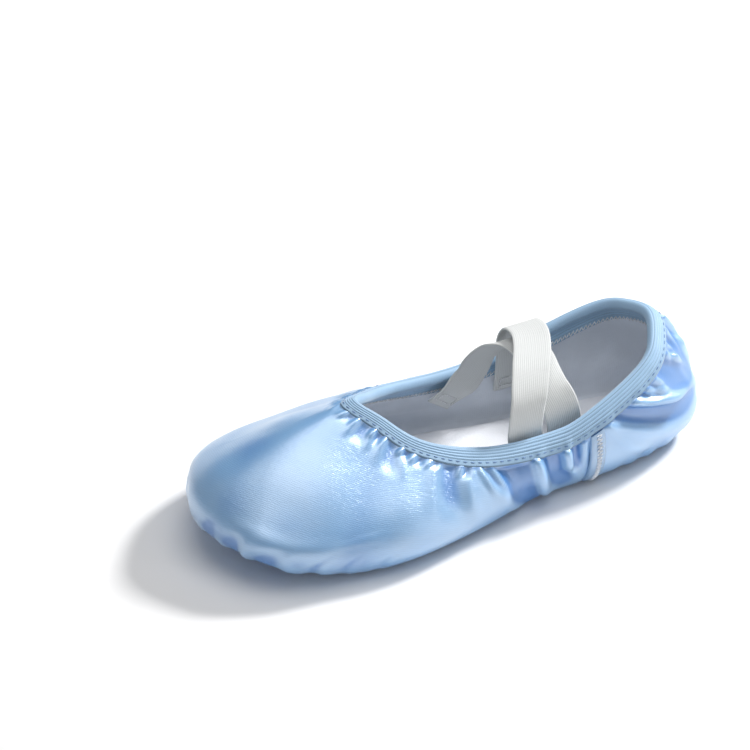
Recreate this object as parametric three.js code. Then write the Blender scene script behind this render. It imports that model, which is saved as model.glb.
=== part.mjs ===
import * as THREE from "three";

// A soft split-sole ballet slipper for one foot, in millimetres.
// +X runs from heel to toe, +Y to the wearer's left, +Z up; the soles stand on z = 0.

// Sections of the upper from the throat (front of the opening) round one side to the heel.
// crest: top of the binding. shoulder, tuck: handles that give the satin its fullness.
// edge: where the wall turns under the foot. spine: x where both sides meet under the foot.
// ease: how far the gathered satin stands off the lining.
const SECTIONS = [
  {
    crest: [39, 0, 55.5], shoulder: [70, 0, 52], tuck: [144.4, 0, 31], edge: [95, 0, 4.5],
    spine: 60,
    ease: 0.3,
  },
  {
    crest: [32, 7.5, 50.8], shoulder: [59, 15, 46], tuck: [138.5, 29, 29], edge: [88.5, 16.5, 5],
    spine: 58,
    ease: 0.5,
  },
  {
    crest: [22.7, 16, 43.6], shoulder: [41, 26, 38], tuck: [112, 52, 22.5], edge: [77.5, 30.5, 4],
    spine: 52,
    ease: 1.5,
  },
  {
    crest: [8.5, 22.5, 37.8], shoulder: [19, 32, 32.5], tuck: [57, 59, 17], edge: [50, 40, 1.6],
    spine: 36,
    ease: 3,
  },
  {
    crest: [-13, 26, 33.3], shoulder: [-9, 35, 29], tuck: [8, 49, 11], edge: [10, 36.5, 1.6],
    spine: 8,
    ease: 4,
  },
  {
    crest: [-36, 27.5, 33.7], shoulder: [-35, 35.5, 29], tuck: [-30, 38, 12], edge: [-28, 27, 1.6],
    spine: -28,
    ease: 4,
  },
  {
    crest: [-51, 27.5, 37.8], shoulder: [-51, 35, 32.5], tuck: [-51, 35.5, 12], edge: [-51, 25, 1.6],
    spine: -51,
    ease: 4,
  },
  {
    crest: [-77, 22, 49], shoulder: [-82, 30, 45], tuck: [-90, 32, 12], edge: [-85, 20.5, 1.6],
    spine: -70,
    ease: 4,
  },
  {
    crest: [-88, 12, 55], shoulder: [-96, 16, 50.5], tuck: [-119, 21, 13], edge: [-98, 11, 1.6],
    spine: -77,
    ease: 3.5,
  },
  {
    crest: [-92, 0, 57.5], shoulder: [-102, 0, 54], tuck: [-124, 0, 13], edge: [-102, 0, 1.6],
    spine: -80,
    ease: 3.5,
  },
];
const LAST = SECTIONS.length - 1;
const ROUND = 2 * LAST; // sections in the whole loop, both sides
const SEAM = 6; // the section the side seam lies in
const UNDER = 1.6; // height of the satin's underside
const STEPS = 3; // slices between two sections
const UNDERFOOT = [1.35, 1.7, 2]; // steps from the edge to the spine

const SATIN = 1.0; // thickness of the satin, with its backing
const COTTON = 0.8; // thickness of the lining
const GAP = 0.3; // clearance between layers
const SEAM_GAP = 0.2; // clearance on each side of the side seam
const EASE_FROM = 2; // the satin and the lining part here, measured down from the crest
const EASE_FULL = 11; // and stand fully apart here
const EASE_HOLD = 0.45; // below this part of the wall they come together again

const TAPE = 1.1; // thickness of the elastic binding
const TAPE_DEPTH = 9.5; // depth of each leg of the folded binding
const TAPE_ROWS = [3, 4.6, 6.2, 7.8, TAPE_DEPTH]; // where the tape bends with the wall
const FOLD = 1.6; // depth of the fold above the fabric edges
const FOLD_ROUND = [0.2, 1.1]; // where the outside of the fold turns, measured down from the crest
const EDGE = 2; // the fabric edges lie this far under the crest

const STITCH = 0.6; // thickness of the sewing thread
const STITCH_LINE = 7.6; // depth of the stitch line on the binding

const INSOLE = 2.5; // thickness of the padded insole
const INSOLE_RIM = 1.22; // where the insole ends, just in from the edge of the wall
const INSOLE_LIFT = 0.5; // clearance between lining and insole
const SOLE = 1.3; // thickness of the suede soles
const SOLE_THREAD_UNDER = 0.2; // the whipping thread lies this far under the sole's upper face

const FELL = 3.8; // width of the felled side seam
const FELL_THICK = 0.7;
const FELL_AHEAD = 0.2; // the band starts this far behind the seam
const FELL_WALL = [0.36, 0.9]; // and runs down this part of the wall
const FELL_STEPS = 8;
const SEAM_PACE = 24; // length of one section behind the side seam

const STRAP_WIDTH = 15.5;
const STRAP_THICK = 1.2;
const TACK = { long: 11, wide: 3, thick: 0.5, at: 0.03 };

const v3 = (x, y, z) => new THREE.Vector3(x, y, z);

// A closed curve through one row of the sections, on both sides of the slipper.
function loopOf(row) {
  const half = SECTIONS.map((section) => v3(...section[row]));
  const other = half
    .slice(1, LAST)
    .reverse()
    .map((p) => v3(p.x, -p.y, p.z));
  return new THREE.CatmullRomCurve3([...half, ...other], true, "catmullrom", 0.5);
}

const ROWS = ["crest", "shoulder", "tuck", "edge"].map(loopOf);
const wrap = (s) => ((s % ROUND) + ROUND) % ROUND;

// A number of the sections, blended between them, at s sections round from the throat.
function blend(key, s) {
  const at = wrap(s) > LAST ? ROUND - wrap(s) : wrap(s);
  const low = Math.min(Math.floor(at), LAST - 1);
  return THREE.MathUtils.lerp(SECTIONS[low][key], SECTIONS[low + 1][key], at - low);
}

// The outer face of the satin: v from 0 at the crest to 1 at the edge and 2 at the spine.
function skin(s, v) {
  const [crest, shoulder, tuck, edge] = ROWS.map((row) => row.getPoint(wrap(s) / ROUND));
  if (v <= 1) return new THREE.CubicBezierCurve3(crest, shoulder, tuck, edge).getPoint(v);
  return edge.lerp(v3(blend("spine", s), 0, UNDER), v - 1);
}

// The outward direction at a point of the satin.
function outward(s, v) {
  const STEP = 0.01;
  const along = skin(s + STEP, v).sub(skin(s - STEP, v));
  const down = skin(s, Math.min(v + STEP, 2)).sub(skin(s, Math.max(v - STEP, 0)));
  const n = v < 1.5 ? down.cross(along) : v3(0, 0, -1);
  if (Math.abs(s) === SEAM || s === ROUND - SEAM) n.x = 0;
  return n.normalize();
}

// How far down the wall (as v) a length measured from the crest reaches.
function reach(s, length) {
  const STEP = 1 / 80;
  let left = length;
  for (let v = 0; v < 1; v += STEP) {
    const hop = skin(s, v).distanceTo(skin(s, v + STEP));
    if (left <= hop) return v + (left / hop) * STEP;
    left -= hop;
  }
  return 1;
}

// How far inside the satin's outer face the lining's outer face lies.
function liningDepth(s, v) {
  const rise = THREE.MathUtils.smoothstep(v, reach(s, EASE_FROM), reach(s, EASE_FULL));
  const fall = 1 - THREE.MathUtils.smoothstep(v, EASE_HOLD, 1);
  return SATIN + GAP + blend("ease", s) * rise * fall;
}

// A mesh from triangles of points.
function meshOf(name, colour, roughness, triangles) {
  const geometry = new THREE.BufferGeometry().setFromPoints(triangles.flat());
  geometry.computeVertexNormals();
  const mesh = new THREE.Mesh(geometry, new THREE.MeshStandardMaterial({ color: colour, roughness }));
  mesh.name = name;
  return mesh;
}

// The triangles between two rows of points.
function strip(a, b) {
  const found = [];
  for (let i = 0; i + 1 < a.length; i += 1) {
    found.push([a[i], b[i], b[i + 1]]);
    found.push([a[i], b[i + 1], a[i + 1]]);
  }
  return found;
}

const surface = (rows) => rows.slice(1).flatMap((row, i) => strip(rows[i], row));
const evenly = (from, to, count) =>
  Array.from({ length: count + 1 }, (_, i) => from + ((to - from) * i) / count);

const flip = (triangles) => triangles.map(([a, b, c]) => [a, c, b]);

// A closed slab between two grids of columns. One that reaches the spine closes there by itself.
function slab(out, inn, hemmed) {
  const last = out.length - 1;
  const row = (grid, j) => grid.map((column) => column[j]);
  const foot = out[0].length - 1;
  return [
    ...flip(surface(out)),
    ...surface(inn),
    ...flip(strip(row(out, 0), row(inn, 0))),
    ...strip(out[0], inn[0]),
    ...flip(strip(out[last], inn[last])),
    ...(hemmed ? strip(row(out, foot), row(inn, foot)) : []),
  ];
}

// Columns of a shell from section `from` to section `to`, kept clear of the side seam.
function columns(from, to, count, pointAt) {
  const clear = from < 0 ? SEAM_GAP : -SEAM_GAP;
  return evenly(from, to, count).map((s, i) => {
    const end = i === 0 || i === count;
    return pointAt(s).map((p) => (end ? p.setX(p.x + clear) : p));
  });
}

// A layer of cloth between two depths inside the satin's outer face.
function layer(name, colour, roughness, [from, to], outer, inner) {
  const count = Math.round((to - from) * STEPS);
  const downTo = (s) => [
    ...[EDGE, ...TAPE_ROWS].map((length) => reach(s, length)),
    ...evenly(reach(s, TAPE_DEPTH), 1, 7).slice(1),
    ...UNDERFOOT,
  ];
  const face = (depth) =>
    columns(from, to, count, (s) =>
      downTo(s).map((v) => skin(s, v).addScaledVector(outward(s, v), -depth(s, v))),
    );
  return meshOf(name, colour, roughness, slab(face(outer), face(inner), false));
}

const FRONT = [-SEAM, SEAM];
const BACK = [SEAM, ROUND - SEAM];
const cottonInside = (s, v) => liningDepth(s, v) + COTTON;

const satin = (name, span) =>
  layer(name, 0x9ec1e0, 0.35, span, () => 0, () => SATIN);
const lining = (name, span) => layer(name, 0xe8eaee, 0.9, span, liningDepth, cottonInside);

// A closed profile swept round the opening; each profile point is [length down, depth inside].
function swept(name, colour, roughness, [from, to], profile) {
  const count = Math.round((to - from) * STEPS);
  const rings = columns(from, to, count, (s) =>
    profile.map(([length, depth]) => {
      const v = reach(s, length);
      return skin(s, v).addScaledVector(outward(s, v), -(typeof depth === "number" ? depth : depth(s, v)));
    }),
  );
  const closed = rings.map((ring) => [...ring, ring[0]]);
  const cap = (ring) => {
    const flat = ring.map((p) => new THREE.Vector2(p.y, p.z));
    const found = THREE.ShapeUtils.triangulateShape(flat, []).map((t) => t.map((i) => ring[i]));
    return from < 0 ? flip(found) : found;
  };
  return meshOf(name, colour, roughness, [
    ...flip(surface(closed)),
    ...cap(rings[0]),
    ...cap(rings[count]),
  ]);
}

// The ribbed elastic folded over the raw edges of satin and lining.
function binding(name, span) {
  const inside = (s, v) => cottonInside(s, v) + GAP;
  const face = (s, v) => inside(s, v) + TAPE;
  const whole = SATIN + GAP + COTTON;
  const up = [...TAPE_ROWS].reverse();
  return swept(name, 0xa9cbe4, 0.7, span, [
    ...up.map((length) => [length, -GAP]),
    [FOLD, -GAP],
    [FOLD, whole + GAP],
    ...TAPE_ROWS.map((length) => [length, inside]),
    ...up.map((length) => [length, face]),
    [FOLD_ROUND[1], whole + GAP + TAPE],
    [FOLD_ROUND[0], whole + GAP],
    [0, whole / 2],
    [FOLD_ROUND[0], 0],
    [FOLD_ROUND[1], -GAP - TAPE],
    ...TAPE_ROWS.map((length) => [length, -GAP - TAPE]),
  ]);
}

// The stitch row on the outer leg of the binding, as one run of thread.
function bindingThread(name, span) {
  const low = -GAP - TAPE - GAP;
  const high = low - STITCH;
  return swept(name, 0x4d6a94, 0.6, span, [
    [STITCH_LINE, low],
    [STITCH_LINE - STITCH, low],
    [STITCH_LINE - STITCH, high],
    [STITCH_LINE, high],
  ]);
}

// A slab lying on the lining under the foot.
function insole(name, [from, to]) {
  const count = Math.round((to - from) * STEPS);
  const base = SATIN + GAP + COTTON + INSOLE_LIFT;
  const face = (height) =>
    columns(from, to, count, (s) =>
      evenly(INSOLE_RIM, 2, 4).map((v) => skin(s, v).add(v3(0, 0, height))),
    );
  return meshOf(name, 0xe3e6ea, 0.9, slab(face(base), face(base + INSOLE), false));
}

// Outline of a suede sole: `front` and `back` ends, half widths at both ends, and their x.
function soleOutline({ front, back, wideAt, wide, narrowAt, narrow }, grow) {
  const shape = new THREE.Shape();
  const full = wide + grow;
  const slim = narrow + grow;
  const third = (wideAt - narrowAt) / 3;
  const side = (sign) => [
    [front + grow, 0],
    [front + grow, sign * full * ROUNDNESS],
    [wideAt + (front - wideAt) * ROUNDNESS, sign * full],
    [wideAt, sign * full],
    [wideAt - third, sign * full],
    [narrowAt + third, sign * slim],
    [narrowAt, sign * slim],
    [narrowAt + (back - narrowAt) * ROUNDNESS, sign * slim],
    [back - grow, sign * slim * ROUNDNESS],
    [back - grow, 0],
  ];
  const left = side(1);
  const right = side(-1).reverse();
  shape.moveTo(...left[0]);
  for (const p of [left, right])
    for (let i = 1; i < p.length; i += 3) shape.bezierCurveTo(...p[i], ...p[i + 1], ...p[i + 2]);
  return shape;
}

const ROUNDNESS = 0.56; // fullness of the rounded ends of a sole
const FRONT_SOLE = { front: 91, back: 2, wideAt: 56, wide: 31, narrowAt: 20, narrow: 20 };
const HEEL_SOLE = { front: -59, back: -100, wideAt: -74, wide: 17, narrowAt: -87, narrow: 15 };
const SOLE_STEPS = 8;

function sole(name, outline) {
  const geometry = new THREE.ExtrudeGeometry(soleOutline(outline, 0), {
    depth: SOLE,
    bevelEnabled: false,
    curveSegments: SOLE_STEPS,
  });
  const mesh = new THREE.Mesh(geometry, new THREE.MeshStandardMaterial({ color: 0xb9b4ac, roughness: 0.95 }));
  mesh.name = name;
  return mesh;
}

// The thread that holds a sole, whipped round its edge.
function soleThread(name, outline) {
  const shape = soleOutline(outline, GAP + STITCH);
  shape.holes.push(soleOutline(outline, GAP));
  const geometry = new THREE.ExtrudeGeometry(shape, {
    depth: STITCH,
    bevelEnabled: false,
    curveSegments: SOLE_STEPS,
  }).translate(0, 0, SOLE - STITCH - SOLE_THREAD_UNDER);
  const mesh = new THREE.Mesh(geometry, new THREE.MeshStandardMaterial({ color: 0x7f9cc0, roughness: 0.6 }));
  mesh.name = name;
  return mesh;
}

// A thin band on the outside of the heel satin, just behind a side seam.
function seamBand(name, colour, side, [ahead, behind], [low, high]) {
  const s = side > 0 ? SEAM : ROUND - SEAM;
  const face = (lift) => {
    const column = (back) =>
      evenly(...FELL_WALL, FELL_STEPS).map((v) => {
        const aft = s + (side * back) / SEAM_PACE;
        const p = skin(s, v).setY(skin(aft, v).y);
        return p.setX(p.x - SEAM_GAP - back).addScaledVector(outward(s, v), lift);
      });
    return side > 0 ? [column(ahead), column(behind)] : [column(behind), column(ahead)];
  };
  return meshOf(name, colour, 0.5, slab(face(high), face(low), true));
}

// Centre lines of the straps over the foot, from the sewn end on the left to the one on the right.
const STRAPS = {
  strap_left_front_to_right_back: [
    [-27.2, 26.4, 17],
    [-26.7, 24.9, 24],
    [-25, 24.3, 33],
    [-24.8, 25.4, 42],
    [-26.8, 23.8, 51],
    [-32, 15.5, 58],
    [-38, 4, 60.5],
    [-42, -7, 59.5],
    [-43.5, -18, 54.5],
    [-43.5, -23.8, 45],
    [-43, -23.4, 35],
    [-43, -24, 26],
    [-43, -24.8, 18],
  ],
  strap_left_back_to_right_front: [
    [-43.3, 24.8, 18],
    [-43.3, 24, 26],
    [-43.2, 23.2, 34],
    [-41.4, 22.6, 42],
    [-38.8, 20, 49],
    [-38.2, 14, 53.6],
    [-39, 4, 55.8],
    [-37.6, -7, 55],
    [-34, -16.4, 49.5],
    [-27.4, -21.4, 40.5],
    [-24.5, -23.4, 32.5],
    [-18, -24, 25],
    [-10.5, -26.5, 18],
  ],
};
const STRAP_RINGS = 40;

// The centre, across and facing directions of a strap at t along it.
function strapFrame(name, t) {
  const path = new THREE.CatmullRomCurve3(STRAPS[name].map((p) => v3(...p)), false, "centripetal");
  const along = path.getTangent(t);
  const across = v3(1, 0, 0).addScaledVector(along, -along.x).normalize();
  return { centre: path.getPoint(t), along, across, facing: along.clone().cross(across) };
}

// A flat elastic band along a strap's centre line.
function strap(name) {
  const rings = evenly(0, 1, STRAP_RINGS).map((t) => {
    const { centre, across, facing } = strapFrame(name, t);
    const corner = (w, h) =>
      centre
        .clone()
        .addScaledVector(across, (w * STRAP_WIDTH) / 2)
        .addScaledVector(facing, (h * STRAP_THICK) / 2);
    return [corner(-1, -1), corner(1, -1), corner(1, 1), corner(-1, 1)];
  });
  const end = ([a, b, c, d]) => [
    [a, b, c],
    [a, c, d],
  ];
  return meshOf(name, 0xf2f3ef, 0.85, [
    ...flip(surface(rings.map((ring) => [...ring, ring[0]]))),
    ...flip(end(rings[0])),
    ...end(rings[STRAP_RINGS]),
  ]);
}

// The bar of thread that tacks one strap end to the lining, on the side that faces the foot.
function tack(name, strapName, t) {
  const { centre, along, across, facing } = strapFrame(strapName, t);
  const mesh = new THREE.Mesh(
    new THREE.BoxGeometry(TACK.long, TACK.wide, TACK.thick),
    new THREE.MeshStandardMaterial({ color: 0xd9dcdf, roughness: 0.7 }),
  );
  mesh.quaternion.setFromRotationMatrix(new THREE.Matrix4().makeBasis(across, along, facing.negate()));
  const clear = STRAP_THICK / 2 + GAP + TACK.thick;
  mesh.position.copy(centre).addScaledVector(facing, facing.y * centre.y < 0 ? clear : -clear);
  mesh.name = name;
  return mesh;
}

const slipper = new THREE.Group();
slipper.name = "ballet_slipper";
slipper.add(
  satin("vamp_satin", FRONT),
  satin("heel_satin", BACK),
  lining("vamp_lining", FRONT),
  lining("heel_lining", BACK),
  binding("throat_binding_front", FRONT),
  binding("throat_binding_heel", BACK),
  bindingThread("binding_thread_front", FRONT),
  bindingThread("binding_thread_heel", BACK),
  insole("forefoot_insole", FRONT),
  insole("heel_insole", BACK),
  sole("front_sole", FRONT_SOLE),
  sole("heel_sole", HEEL_SOLE),
  soleThread("front_sole_thread", FRONT_SOLE),
  soleThread("heel_sole_thread", HEEL_SOLE),
  seamBand("side_seam_fell_left", 0x8fb2d6, 1, [FELL_AHEAD, FELL], [GAP, GAP + FELL_THICK]),
  seamBand("side_seam_fell_right", 0x8fb2d6, -1, [FELL_AHEAD, FELL], [GAP, GAP + FELL_THICK]),
);
for (const name of Object.keys(STRAPS)) {
  const [, , start, , , end] = name.split("_");
  slipper.add(
    strap(name),
    tack(`strap_tack_left_${start}`, name, TACK.at),
    tack(`strap_tack_right_${end}`, name, 1 - TACK.at),
  );
}

export default slipper;
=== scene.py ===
import math

import bmesh
import bpy
import numpy as np
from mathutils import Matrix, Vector


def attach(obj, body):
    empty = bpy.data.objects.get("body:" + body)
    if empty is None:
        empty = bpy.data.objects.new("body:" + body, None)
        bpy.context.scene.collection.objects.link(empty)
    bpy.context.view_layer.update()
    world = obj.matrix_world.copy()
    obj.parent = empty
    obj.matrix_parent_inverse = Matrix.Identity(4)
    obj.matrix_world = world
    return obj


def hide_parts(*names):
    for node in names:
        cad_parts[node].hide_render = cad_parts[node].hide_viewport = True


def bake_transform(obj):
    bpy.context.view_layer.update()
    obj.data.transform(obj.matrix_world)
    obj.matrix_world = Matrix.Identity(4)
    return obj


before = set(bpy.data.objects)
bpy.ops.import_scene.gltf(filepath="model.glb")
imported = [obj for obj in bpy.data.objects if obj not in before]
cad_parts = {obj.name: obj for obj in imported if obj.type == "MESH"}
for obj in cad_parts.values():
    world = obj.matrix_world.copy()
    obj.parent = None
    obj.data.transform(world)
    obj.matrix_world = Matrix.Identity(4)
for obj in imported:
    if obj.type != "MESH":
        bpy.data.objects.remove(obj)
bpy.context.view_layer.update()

bl_info = {
    "name": "Soft Ballet Slipper",
    "version": (1, 0, 0),
    "blender": (4, 5, 0),
    "location": "View3D > Sidebar > Slipper",
    "description": "Makes a gathered satin ballet slipper, piece by piece",
    "category": "Object",
}

MM = 0.001

# The last the slipper is made on: sections from the throat round one side to the heel, in millimetres.
# Each holds the crest of the binding, two handles for the fullness of the satin, the edge under the foot,
# the x where both sides meet under the foot, and how far the gathered satin stands off the lining.
SECTIONS = [
    ((39, 0, 55.5), (70, 0, 52), (144.4, 0, 31), (95, 0, 4.5), 60, 0.3),
    ((32, 7.5, 50.8), (59, 15, 46), (138.5, 29, 29), (88.5, 16.5, 5), 58, 0.5),
    ((22.7, 16, 43.6), (41, 26, 38), (112, 52, 22.5), (77.5, 30.5, 4), 52, 1.5),
    ((8.5, 22.5, 37.8), (19, 32, 32.5), (57, 59, 17), (50, 40, 1.6), 36, 3),
    ((-13, 26, 33.3), (-9, 35, 29), (8, 49, 11), (10, 36.5, 1.6), 8, 4),
    ((-36, 27.5, 33.7), (-35, 35.5, 29), (-30, 38, 12), (-28, 27, 1.6), -28, 4),
    ((-51, 27.5, 37.8), (-51, 35, 32.5), (-51, 35.5, 12), (-51, 25, 1.6), -51, 4),
    ((-77, 22, 49), (-82, 30, 45), (-90, 32, 12), (-85, 20.5, 1.6), -70, 4),
    ((-88, 12, 55), (-96, 16, 50.5), (-119, 21, 13), (-98, 11, 1.6), -77, 3.5),
    ((-92, 0, 57.5), (-102, 0, 54), (-124, 0, 13), (-102, 0, 1.6), -80, 3.5),
]
HALF = len(SECTIONS) - 1
ROUND = 2 * HALF
SEAM = 6.0  # the section of the side seams
# Lengths below are in millimetres, except in WAIST and STRETCH, which are in metres like the CAD.
UNDER = 1.6  # height of the satin under the foot
SATIN, GAP, COTTON = 1.0, 0.3, 0.8  # room for the satin, between layers, and for the lining
TAPE, TAPE_DEPTH = 1.1, 9.5  # thickness of the binding, and its depth when folded
EDGE = 2.0  # how far below the crest the cloth is cut off, inside the binding
UNDERSIDE = 30.0  # cloth from the edge under the foot to the middle line, for the weave
CLOTH_COLUMNS, TAPE_COLUMNS = 12, 30  # columns in one section of lining and insole, and of binding
FULL_SHADE = 2.4  # how far the satin is in or out where its folds are shaded in full
MOST_FILLING = 1.2  # how far the air may push the satin out

# Folds of the gathered satin on one side: place along the binding from the throat, half width, how far down
# it runs, its depth, how far it leans towards the heel for each millimetre down, and its width at the far end
# as a share of its width at the binding.
FOLDS = [
    (5.2, 1.3, 5, 1.5, 0.0, 1.3), (10.9, 1.9, 11, 1.5, 0.3, 1.3), (17.4, 1.3, 5, 1.9, 0.2, 1.3),
    (22.9, 2.2, 14, 1.4, 0.5, 1.4), (29.4, 1.2, 4, 1.8, 0.1, 1.2), (35.2, 1.3, 5, 1.2, 0.1, 1.2),
    (40.9, 1.1, 4, 1.0, 0.1, 1.2), (46.0, 3.2, 28, 1.7, 0.45, 1.5), (53.0, 1.3, 6, 1.5, 0.2, 1.2),
    (60.0, 1.4, 14, 1.7, 0.9, 1.2), (70.8, 5.6, 34, 4.8, 0.62, 0.35), (86.8, 3.1, 27, 4.4, 0.42, 0.8),
    (97.0, 1.9, 15, 3.6, 0.12, 0.8), (117.5, 3.6, 40, 5.0, 0.90, 1.5), (127.5, 1.5, 12, 1.5, 0.75, 1.2),
    (132.5, 1.4, 8, 2.0, 0.40, 1.1), (140.8, 4.2, 34, 4.8, 0.38, 1.3), (147.6, 1.4, 8, 2.6, 0.20, 1.1),
    (152.5, 2.6, 28, 3.4, 0.10, 1.3), (158.7, 1.8, 16, 2.6, 0.0, 1.2),
]
# Sharp ridges where the cloth is pinched: place, half width, how far down, height and lean.
RIDGES = [
    (80.2, 0.95, 31, 3.4, 0.42), (92.6, 1.1, 15, 2.4, 0.10), (109.5, 2.0, 34, 1.8, 0.55),
    (122.8, 1.5, 30, 2.6, 1.0), (146.0, 1.4, 26, 2.2, 0.35),
]
# Pleats where the satin is drawn in under the toe: place along the edge from the toe, half width, depth.
PLEATS = [
    (4.5, 2.6, 2.6), (14.8, 2.8, 2.9), (26.0, 3.6, 2.9), (41.5, 1.6, 1.2), (52.0, 1.6, 0.7), (66.0, 1.6, 0.6),
]

# Centre lines of the two straps, from the sewn end on the left to the one on the right.
STRAPS = {
    "strap_left_front_to_right_back": [
        (-27.2, 26.4, 17), (-26.7, 24.9, 24), (-25, 24.3, 33), (-24.8, 25.4, 42), (-26.8, 23.8, 51),
        (-32, 15.5, 58), (-38, 4, 60.5), (-42, -7, 59.5), (-43.5, -18, 54.5), (-43.5, -23.8, 45),
        (-43, -23.4, 35), (-43, -24, 26), (-43, -24.8, 18),
    ],
    "strap_left_back_to_right_front": [
        (-43.3, 24.8, 18), (-43.3, 24, 26), (-43.2, 23.2, 34), (-41.4, 22.6, 42), (-38.8, 20, 49),
        (-38.2, 14, 53.6), (-39, 4, 55.8), (-37.6, -7, 55), (-34, -16.4, 49.5), (-27.4, -21.4, 40.5),
        (-24.5, -23.4, 32.5), (-18, -24, 25), (-10.5, -26.5, 18),
    ],
}

# Outlines of the suede soles: front and back ends, then the widest and the narrowest place and half width.
SOLES = {
    "front_sole": (91, 2, 56, 31, 20, 20),
    "heel_sole": (-59, -100, -74, 17, -87, 15),
}
SOLE_BODIES = {"front_sole": "forefoot", "heel_sole": "heel"}
# A sole in section, from its upper face over the edge to the floor: how far it is let out, and its height.
SOLE_EDGE = [
    (-14, 1.3), (-6, 1.3), (-1.0, 1.3), (-0.2, 1.15), (0, 0.85),
    (0, 0.45), (-0.25, 0.15), (-0.9, 0.0), (-6, 0.0), (-14, 0.0),
]


def count(label, words, value, least):
    """A whole-number property with its default."""
    return bpy.props.IntProperty(name=label, description=words, default=value, min=least)


def length(label, words, value):
    """A length property with its default."""
    return bpy.props.FloatProperty(name=label, description=words, default=value, unit="LENGTH")


def colour(label, words, value):
    """A colour property with its default."""
    return bpy.props.FloatVectorProperty(
        name=label, description=words, default=value, size=3, subtype="COLOR", min=0, max=1
    )


class SlipperSizes(bpy.types.PropertyGroup):
    """Sizes that a maker would change"""

    satin_columns: count("Satin columns", "Columns of satin in one section", 24, 4)
    satin_rows: count("Satin rows", "Rows of satin down the wall", 64, 10)
    satin_thickness: length("Satin thickness", "Thickness of the satin", 0.0006)
    cotton_thickness: length("Lining thickness", "Thickness of the cotton lining", 0.0006)
    air: bpy.props.FloatProperty(
        name="Stuffing pressure", description="Pressure that fills the satin out", default=2.2, min=0
    )
    strap_width: length("Strap width", "Width of the elastic straps", 0.0155)
    strap_thickness: length("Strap thickness", "Thickness of the elastic straps", 0.0011)
    stitch: length("Stitch length", "Visible length of a stitch", 0.0019)
    stitch_step: length("Stitch spacing", "From one stitch to the next", 0.0032)
    thread: length("Thread thickness", "Thickness of the sewing thread", 0.00055)


class SlipperColours(bpy.types.PropertyGroup):
    """Colours that a maker would change"""

    satin: colour("Satin", "Face of the satin", (0.16, 0.42, 0.78))
    # Painted shade: the satin's colour in the hollows of the folds, in the painted shadow under the binding and
    # along the side seams.
    satin_painted_shade: colour("Satin, in the folds", "Satin where it turns into a fold", (0.03, 0.20, 0.56))
    # Paler satin for random patches and grain, and, made paler still, the painted highlight on the ridges of
    # the folds.
    satin_pale_and_highlight: colour("Satin, worn pale", "Satin where it is rubbed and stretched", (0.25, 0.49, 0.80))
    tape: colour("Binding", "Ribbed elastic binding", (0.32, 0.49, 0.68))
    blue_thread: colour("Blue thread", "Stitches on the binding", (0.13, 0.24, 0.46))
    seam_thread: colour("Seam thread", "Stitches on the side seams and soles", (0.85, 0.90, 0.97))
    white_thread: colour("White thread", "Stitches inside the slipper", (0.84, 0.85, 0.87))
    # The lining is white cotton; the blue in this colour is painted light, standing for the blue that the satin
    # throws into the slipper.
    cotton: colour("Lining", "Cotton lining", (0.87, 0.92, 1.0))
    insole: colour("Insole", "Padded insole", (0.88, 0.90, 0.95))
    suede: colour("Suede", "Suede soles", (0.50, 0.47, 0.43))
    strap: colour("Straps", "White elastic straps", (0.63, 0.65, 0.65))


def sizes():
    return bpy.context.scene.slipper_sizes


def dye(name, share=1.0):
    """One of the maker's colours, made lighter or darker by a share."""
    return tuple(c * share for c in getattr(bpy.context.scene.slipper_colours, name))


# ---- The last


def both_sides(values, flip_y=False):
    """Values for one side, continued round the other side of the slipper."""
    half = np.array(values, float)
    back = half[1:-1][::-1] * ((1, -1, 1) if flip_y else 1)
    return np.concatenate([half, back])


def ring_curve(points):
    """A smooth closed curve through points: a function of the place round the ring, in sections."""
    n = len(points)
    eye = np.eye(n)
    system = 4 * eye + np.roll(eye, 1, 0) + np.roll(eye, -1, 0)
    slopes = np.linalg.solve(system, 3 * (np.roll(points, -1, 0) - np.roll(points, 1, 0)))

    def at(s):
        s = np.asarray(s, float) % n
        i = np.floor(s).astype(int) % n
        j = (i + 1) % n
        t = s - np.floor(s)
        if points.ndim > 1:
            t = t[..., None]
        return (
            points[i] * (2 * t**3 - 3 * t**2 + 1)
            + points[j] * (3 * t**2 - 2 * t**3)
            + slopes[i] * (t**3 - 2 * t**2 + t)
            + slopes[j] * (t**3 - t**2)
        )

    return at


CREST, SHOULDER, TUCK, FOOT_EDGE = [
    ring_curve(both_sides([row[k] for row in SECTIONS], True)) for k in range(4)
]
SPINE = ring_curve(both_sides([row[4] for row in SECTIONS]))
EASE = ring_curve(both_sides([row[5] for row in SECTIONS]))


def wall(s, v):
    """Points of the smooth upper. v runs from 0 at the crest to 1 at the edge and 2 at the spine."""
    s, v = np.broadcast_arrays(np.asarray(s, float), np.asarray(v, float))
    a, b, c, d = CREST(s), SHOULDER(s), TUCK(s), FOOT_EDGE(s)
    t = np.clip(v, 0, 1)[..., None]
    side = a * (1 - t) ** 3 + 3 * b * t * (1 - t) ** 2 + 3 * c * t**2 * (1 - t) + d * t**3
    spine = np.stack([SPINE(s), np.zeros_like(s), np.full_like(s, UNDER)], -1)
    under = np.clip(v - 1, 0, 1)[..., None]
    return side + (spine - side) * under


def outward(s, v):
    """Outward directions of the smooth upper."""
    s, v = np.broadcast_arrays(np.asarray(s, float), np.asarray(v, float))
    small = 0.004
    along = wall(s + small, v) - wall(s - small, v)
    down = wall(s, np.minimum(v + small, 2)) - wall(s, np.maximum(v - small, 0))
    n = np.cross(down, along)
    flat = np.clip((v - 1.0) / 0.4, 0, 1)[..., None]
    n /= np.linalg.norm(n, axis=-1, keepdims=True) + 1e-9
    n = n * (1 - flat) + np.array([0, 0, -1.0]) * flat
    return n / (np.linalg.norm(n, axis=-1, keepdims=True) + 1e-9)


STEPS = np.linspace(0, 1, 161)


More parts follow.
